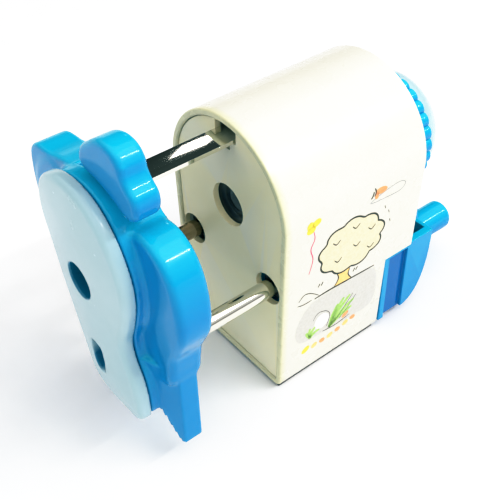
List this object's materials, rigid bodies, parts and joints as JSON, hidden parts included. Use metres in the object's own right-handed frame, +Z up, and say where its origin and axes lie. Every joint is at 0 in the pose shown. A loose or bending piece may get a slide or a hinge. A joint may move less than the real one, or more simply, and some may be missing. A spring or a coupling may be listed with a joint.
{
  "type": "crank pencil sharpener",
  "caption": "Desktop crank pencil sharpener: arched housing, planetary helical cutter, sliding spring-fed face plate on guide rods with lever-opened jaws, and a rear shavings drawer.",
  "frame": {"origin": "centre of the base pad's underside", "axes": "+Z up, +Y from the pencil's face towards the crank, +X to the right when facing the pencil hole"},
  "size_m": [0.0799, 0.1606, 0.121],
  "materials": {
    "cream_shell": "glossy cream ABS",
    "cream_panel": "cream ABS with a soft sheen",
    "pad_rubber": "matt",
    "black_plastic": "black, fine grain",
    "grey_nylon": "natural grey",
    "blue_plastic": "glossy cyan-blue ABS",
    "ice_plastic": "glossy pale ice blue",
    "bright_chrome": "plated",
    "bare_steel": "ground",
    "screw_steel": "zinc plated",
    "spring_steel": "drawn wire",
    "tool_steel": "hardened, ground flutes",
    "bush_brass": "turned",
    "gear_brass": "hobbed"
  },
  "bodies": {
    "housing": {"housing_shell": "cream_shell", "front_panel": "cream_panel", "rear_cover": "cream_panel", "base_pad": "pad_rubber", "pencil_bush": "black_plastic", "ring_gear": "grey_nylon", "rod_bush_left": "black_plastic", "rod_bush_right": "black_plastic", "rail_guide": "grey_nylon", "shaft_bush": "bush_brass", "rear_screw_left": "screw_steel", "rear_screw_right": "screw_steel", "feed_spring": "spring_steel"},
    "crank": {"crank_shaft": "bare_steel", "cutter_carrier": "grey_nylon", "cutter_pin": "bare_steel", "crank_hub": "blue_plastic", "arm_spacer": "screw_steel", "crank_arm": "blue_plastic", "dome_cap": "ice_plastic", "hub_screw": "screw_steel", "knob_axle": "bare_steel"},
    "cutter": {"helical_cutter": "tool_steel", "cutter_pinion": "gear_brass"},
    "knob": {"crank_knob": "blue_plastic"},
    "drawer": {"shavings_drawer": "blue_plastic"},
    "carriage": {"carriage_plate": "blue_plastic", "face_cover": "ice_plastic", "chuck_cover": "black_plastic", "chuck_screw_left": "screw_steel", "chuck_screw_bottom": "screw_steel", "chuck_screw_right": "screw_steel", "jaw_spring": "spring_steel", "top_rail": "bright_chrome", "guide_rod_left": "bright_chrome", "guide_rod_right": "bright_chrome", "rod_stop_left": "screw_steel", "rod_stop_right": "screw_steel"},
    "lever": {"jaw_lever": "blue_plastic"},
    "left_jaw": {"jaw_left": "black_plastic"},
    "right_jaw": {"jaw_right": "black_plastic"}
  },
  "joints": [
    {"name": "crank_spin", "type": "hinge", "parent": "housing", "child": "crank", "pos_m": [0, 0, 0.0685], "axis": [0, 1, 0], "continuous": true},
    {"name": "cutter_spin", "type": "hinge", "parent": "crank", "child": "cutter", "pos_m": [0, -0.011, 0.0795], "axis": [0, 0.989, -0.1478], "continuous": true},
    {"name": "knob_spin", "type": "hinge", "parent": "crank", "child": "knob", "pos_m": [0.00887, 0.07, 0.01605], "axis": [0, 1, 0], "continuous": true},
    {"name": "carriage_slide", "type": "slide", "parent": "housing", "child": "carriage", "axis": [0, 1, 0], "range_m": [0, 0.032], "deforming": ["feed_spring"]},
    {"name": "lever_turn", "type": "hinge", "parent": "carriage", "child": "lever", "pos_m": [0, -0.068, 0.0685], "axis": [0, -1, 0], "range_deg": [0, 16], "stiffness_Nm_per_rad": 0.06, "springref_deg": -6.88, "deforming": ["jaw_spring"]},
    {"name": "jaw_left_slide", "type": "slide", "parent": "carriage", "child": "left_jaw", "axis": [-1, 0, 0], "range_m": [0, 0.0023]},
    {"name": "jaw_right_slide", "type": "slide", "parent": "carriage", "child": "right_jaw", "axis": [1, 0, 0], "range_m": [0, 0.0023]},
    {"name": "drawer_slide", "type": "slide", "parent": "housing", "child": "drawer", "axis": [0, 1, 0], "range_m": [0, 0.007]}
  ],
  "couplings": [
    {"joint": "cutter_spin", "follows": "crank_spin", "ratio": -3.2},
    {"joint": "jaw_left_slide", "follows": "lever_turn", "m_per_rad": 0.00823},
    {"joint": "jaw_right_slide", "follows": "lever_turn", "m_per_rad": 0.00823}
  ]
}
